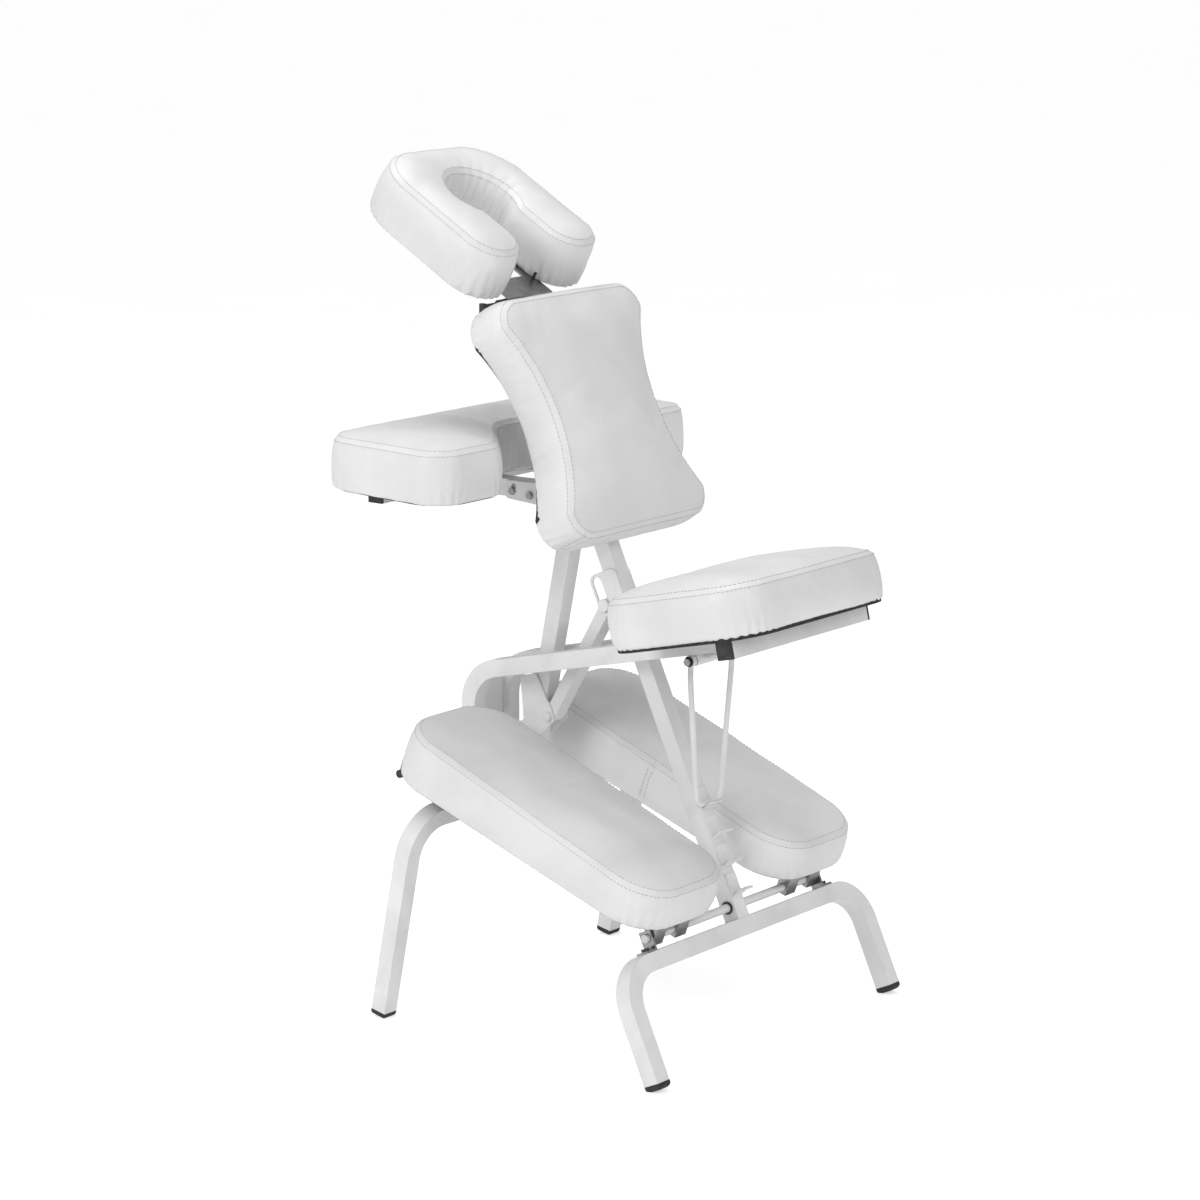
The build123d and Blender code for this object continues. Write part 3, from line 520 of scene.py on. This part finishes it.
# Depths are in millimetres, widths, reaches and pitches in metres, and grains per millimetre.
GROOVE_DEPTH, GROOVE_WIDTH = 1.7, 1.9 * MM
WELT_RISE, WELT_PLACE, WELT_WIDTH = 0.35, 5 * MM, 3 * MM
PUCKER_DEPTH, PUCKER_PITCH, PUCKER_REACH = 0.16, 13 * MM, 9 * MM
GATHER_DEPTH, GATHER_PITCH, GATHER_REACH = 3.4, 15 * MM, 11 * MM
GATHER_ANYWHERE = 0.25
CORNER_DEPTH, CORNER_REACH, CORNER_BEND = 1.6, 34 * MM, 14
PLEAT_DEPTH, PLEAT_PITCH, PLEAT_MIDDLE, PLEAT_REACH = 5.0, 13 * MM, 0.6, 9 * MM
HOLLOW_BEND = 12
WALL_REACH = 14 * MM
SLACK_DEPTH, SLACK_GRAIN = 0.8, 0.009
RIDGE_DEPTH, RIDGE_START, RIDGE_GRAIN = 0.35, 0.8, (0.02, 0.009, 0.016)
JOIN_DEPTH, JOIN_WIDTH, JOIN_REACH = 1.2, 2.6 * MM, 12 * MM
JOIN_WELT_RISE, JOIN_WELT_PLACE, JOIN_WELT_WIDTH = 0.3, 7 * MM, 3 * MM
FLAT_BASE = 2.5 * MM
FOLD_GRAIN, FOLD_WANDER, PUCKER_GRAIN, PLEAT_WANDER = 0.02, 4, 0.012, 0.8
RIDGE_ON_TOP = 0.3
SEED_STEP = 7.3
IN_MM = 1000


def bell(distance, width):
    """1 at no distance, falling away over a width."""
    return exp(-((distance / width) ** 2))


def folds(cut, far, arc, base, wall, j, spot, drift):
    """Depth of the puckers along the seam, the gathers at the base and corners, and the inner pleats."""
    along = j * OUTLINE_STEP
    pucker = sin(arc / PUCKER_PITCH * 2 * pi + FOLD_WANDER * noise.noise(spot * PUCKER_GRAIN))
    depth = PUCKER_DEPTH * pucker * exp(-far / PUCKER_REACH)
    corner = max(min(cut.bends[j] / CORNER_BEND, 1), 0)
    wander = noise.noise(spot * FOLD_GRAIN + drift)
    fold = sin(along / GATHER_PITCH * 2 * pi + FOLD_WANDER * wander)
    gathered = GATHER_DEPTH * exp(-base / GATHER_REACH) * (GATHER_ANYWHERE + corner)
    gathered += CORNER_DEPTH * exp(-base / CORNER_REACH) * corner
    depth += cut.pad.gathers * fold * wall * gathered
    hollow = max(min(-cut.bends[j] / HOLLOW_BEND, 1), 0)
    pleat = abs(sin(along / PLEAT_PITCH * pi + PLEAT_WANDER * wander)) - PLEAT_MIDDLE
    depth += cut.pad.gathers * PLEAT_DEPTH * pleat * hollow * wall * min(far / PLEAT_REACH, 1)
    return depth


def slack(wall, spot, drift):
    """Depth of the loose cover over its foam: slow swells, and soft ridges that are deeper on the wall."""
    swell = noise.fractal(spot * SLACK_GRAIN + drift, 1.0, 2.0, 3)
    grain = Vector([a * b for a, b in zip(spot, RIDGE_GRAIN)])
    ridge = 1 - abs(noise.noise(grain + drift)) * 2
    lift = max(ridge - RIDGE_START, 0) / (1 - RIDGE_START)
    return SLACK_DEPTH * swell + RIDGE_DEPTH * lift * (RIDGE_ON_TOP + (1 - RIDGE_ON_TOP) * wall)


def creased(cut, obj):
    """Sew and settle the cover: seam groove, puckers along it, gathers at the corners, slack folds."""
    lip = ring(cut, 1, SEAM_INSET)
    seam_tree = tree_of(lip)
    drift = Vector((cut.pad.seed * SEED_STEP, 0, 0))
    joins = [cut.edge(Vector((*spot, 0)))[1] for spot in cut.pad.joins]
    moves = []
    for v in obj.data.vertices:
        p = v.co
        spot = p * IN_MM
        i = seam_tree.find(p)[1]
        way = (lip[(i + 1) % len(lip)] - lip[i - 1]).normalized()
        off = p - lip[i]
        far = (off - way * off.dot(way)).length
        arc = i * OUTLINE_STEP + off.dot(way)
        inside, j = cut.edge(p)
        wall = exp(-max(inside, 0) / WALL_REACH)
        depth = -GROOVE_DEPTH * bell(far, GROOVE_WIDTH) + WELT_RISE * bell(far - WELT_PLACE, WELT_WIDTH)
        depth += folds(cut, far, arc, p.z + BOARD, wall, j, spot, drift)
        depth += slack(wall, spot, drift)
        if off.z < 0 and inside < JOIN_REACH:
            for join in joins:
                gap = loop_gap(cut, j, join)
                depth -= JOIN_DEPTH * bell(gap, JOIN_WIDTH)
                depth += JOIN_WELT_RISE * bell(gap - JOIN_WELT_PLACE, JOIN_WELT_WIDTH)
        moves.append(depth * MM)
    normals = [v.normal.copy() for v in obj.data.vertices]
    for v, n, depth in zip(obj.data.vertices, normals, moves):
        if v.co.z + BOARD > FLAT_BASE:
            v.co += n * depth


def opened_under(cut, obj):
    """Leave only a wrapped margin of the cover under the board."""
    bm = bmesh.new()
    bm.from_mesh(obj.data)
    floor = UNDER_BOARD - BOARD
    gone = [
        f
        for f in bm.faces
        if f.calc_center_median().z < floor and cut.edge(f.calc_center_median())[0] > WRAP_WIDTH
    ]
    bmesh.ops.delete(bm, geom=gone, context="FACES")
    bm.to_mesh(obj.data)
    bm.free()


# ---------------------------------------------------------------- stitching
STITCH_LIFTS = (-0.35, 0.75, 0.9, 0.75, -0.35)
THREAD_SIDES = 6
TOP_ROW_LIFT = 2 * MM
WALL_ROW_OUT = 5 * MM
JOIN_ROW_GAP = 9 * MM


def stitch_mesh(bm, points, normals):
    """One stitch: a short thread that dives into the cover at both ends."""
    rows = []
    for k, (p, n) in enumerate(zip(points, normals)):
        way = (points[min(k + 1, len(points) - 1)] - points[max(k - 1, 0)]).normalized()
        side = way.cross(n).normalized()
        heart = p + n * THREAD * STITCH_LIFTS[k]
        angles = [2 * pi * step / THREAD_SIDES for step in range(THREAD_SIDES)]
        rows.append([bm.verts.new(heart + (side * cos(a) + n * sin(a)) * THREAD) for a in angles])
    for low, high in zip(rows, rows[1:]):
        for i in range(THREAD_SIDES):
            j = (i + 1) % THREAD_SIDES
            bm.faces.new((low[i], low[j], high[j], high[i]))
    bm.faces.new(rows[0][::-1])
    bm.faces.new(rows[-1])


def stitch_row(bm, surface, line, closed=True):
    """A row of stitches along a line of points laid onto the cover."""
    spans = [(b - a).length for a, b in zip(line, line[1:] + line[:1])]
    if not closed:
        spans = spans[:-1]
    total = sum(spans)
    count = int(total / STITCH_PITCH)

    def at(distance):
        distance = distance % total if closed else min(distance, total - 1e-6)
        i = 0
        while distance > spans[i]:
            distance -= spans[i]
            i += 1
        return line[i].lerp(line[(i + 1) % len(line)], distance / spans[i])

    for k in range(count):
        start = total * k / count
        points, normals = [], []
        for part in range(len(STITCH_LIFTS)):
            reach = STITCH_LENGTH * part / (len(STITCH_LIFTS) - 1)
            place, normal, _, _ = surface.find_nearest(at(start + reach))
            points.append(place)
            normals.append(normal)
        stitch_mesh(bm, points, normals)


def stitching(cut, obj):
    """Both rows of top-stitching along the seam, and those of the wall's own joins."""
    points = [v.co for v in obj.data.vertices]
    surface = BVHTree.FromPolygons(points, [p.vertices for p in obj.data.polygons])
    bm = bmesh.new()
    lip = ring(cut, 1, SEAM_INSET)
    top_row = [p - n * SEAM_SIDE + Vector((0, 0, TOP_ROW_LIFT)) for p, n in zip(lip, cut.normals)]
    wall_row = [p + n * WALL_ROW_OUT - Vector((0, 0, SEAM_SIDE)) for p, n in zip(lip, cut.normals)]
    stitch_row(bm, surface, top_row)
    stitch_row(bm, surface, wall_row)
    for spot in cut.pad.joins:
        join = cut.edge(Vector((*spot, 0)))[1]
        for side in (-1, 1):
            i = (join + side) % len(cut.loop)
            foot, head = cut.loop[i].copy(), cut.loop[i].copy()
            head.z = cut.seam(head) - JOIN_ROW_GAP
            stitch_row(bm, surface, [foot, (foot + head) / 2, head], closed=False)
    mesh = bpy.data.meshes.new(cut.pad.name + "_stitching")
    bm.to_mesh(mesh)
    bm.free()
    return mesh


def placed(name, mesh, matrix, material, body):
    """Put a mesh into the shared frame as a piece that rides on a body."""
    obj = bpy.data.objects.new(name, mesh)
    bpy.context.scene.collection.objects.link(obj)
    mesh.transform(matrix)
    mesh.materials.clear()
    mesh.materials.append(material)
    mesh.polygons.foreach_set("use_smooth", [True] * len(mesh.polygons))
    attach(obj, body)
    return obj


def upholstered(pad):
    """One finished pad: cover, seam and stitching."""
    cut = Cut(pad)
    obj = bpy.data.objects.new("cover", cover_solid(cut))
    bpy.context.scene.collection.objects.link(obj)
    remeshed(obj)
    domed(cut, obj)
    pinned(cut, obj)
    filled(cut, obj)
    settled(obj)
    subdivided(obj)
    creased(cut, obj)
    opened_under(cut, obj)
    threads = stitching(cut, obj)
    mesh = obj.data
    bpy.data.objects.remove(obj)
    label = pad.name.replace("cushion", "cover")
    cover = placed(label, mesh, cut.matrix, VINYL, pad.body)
    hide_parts(pad.name)
    placed(label.replace("cover", "stitching"), threads, cut.matrix, THREAD_WHITE, pad.body)


# ---------------------------------------------------------------- studio
CAMERA_PLACE = (-4.071, -3.1886, 1.669)
CAMERA_YAW = 38.26
CAMERA_PITCH = -11.87
CAMERA_LENS = 113.7
FLOOR_RADIUS = 90
FLOOR_GLOW = 0.2
SEEN_FLOOR_GLOW = 0.55
WORLD_LIGHT = 0.5
SEEN_WORLD_LIGHT = 1
# (name, place, aim, size, power in watts)
LIGHTS = [
    ("key", (-3.0, 0.6, 2.4), (0, 0, 0.6), 1.6, 40),
    ("top", (0.4, 1.0, 3.6), (0, 0, 0.6), 1.8, 36),
    ("front", (-1.2, -3.2, 2.6), (0, 0, 0.8), 1.8, 30),
]


def seen_or_lit(tree, seen, lit):
    """A strength that is one number to the camera and another as light on the chair."""
    path = tree.nodes.new("ShaderNodeLightPath")
    pick = tree.nodes.new("ShaderNodeMapRange")
    pick.inputs["To Min"].default_value = lit
    pick.inputs["To Max"].default_value = seen
    tree.links.new(path.outputs["Is Camera Ray"], pick.inputs["Value"])
    return pick.outputs["Result"]


def camera():
    data = bpy.data.cameras.new("camera")
    data.lens = CAMERA_LENS
    data.sensor_width = 36.0
    obj = bpy.data.objects.new("camera", data)
    bpy.context.scene.collection.objects.link(obj)
    yaw, pitch = radians(CAMERA_YAW), radians(CAMERA_PITCH)
    way = Vector((cos(yaw) * cos(pitch), sin(yaw) * cos(pitch), sin(pitch)))
    obj.location = CAMERA_PLACE
    obj.rotation_mode = "QUATERNION"
    obj.rotation_quaternion = way.to_track_quat("-Z", "Y")
    bpy.context.scene.camera = obj


def studio_floor():
    """A plain pale floor, wide enough for every view, that looks white as the photo's background does."""
    bm = bmesh.new()
    bmesh.ops.create_circle(bm, cap_ends=True, segments=96, radius=FLOOR_RADIUS)
    mesh = bpy.data.meshes.new("studio_floor")
    bm.to_mesh(mesh)
    bm.free()
    floor = bpy.data.objects.new("studio_floor", mesh)
    bpy.context.scene.collection.objects.link(floor)
    s = Shader("studio_floor", (0.86, 0.86, 0.86), 0.7)
    s.color(s.noise(2), [(0.3, (0.85, 0.85, 0.85)), (0.7, (0.87, 0.87, 0.87))])
    s.out.inputs["Emission Color"].default_value = (1, 1, 1, 1)
    glow = seen_or_lit(s.tree, SEEN_FLOOR_GLOW, FLOOR_GLOW)
    s.tree.links.new(glow, s.out.inputs["Emission Strength"])
    mesh.materials.append(s.material)


def light(name, place, aim, size, power):
    data = bpy.data.lights.new(name, "AREA")
    data.size = size
    data.energy = power
    obj = bpy.data.objects.new(name, data)
    bpy.context.scene.collection.objects.link(obj)
    obj.location = place
    obj.rotation_mode = "QUATERNION"
    obj.rotation_quaternion = (Vector(aim) - Vector(place)).to_track_quat("-Z", "Y")


def studio():
    world = bpy.data.worlds.new("studio")
    world.use_nodes = True
    sky = world.node_tree.nodes["Background"]
    sky.inputs["Color"].default_value = (1, 1, 1, 1)
    strength = seen_or_lit(world.node_tree, SEEN_WORLD_LIGHT, WORLD_LIGHT)
    world.node_tree.links.new(strength, sky.inputs["Strength"])
    scene = bpy.context.scene
    scene.world = world
    scene.view_settings.view_transform = "Standard"
    for lamp in LIGHTS:
        light(*lamp)
    studio_floor()


dress_frame()
for each in PADS:
    upholstered(each)
camera()
studio()
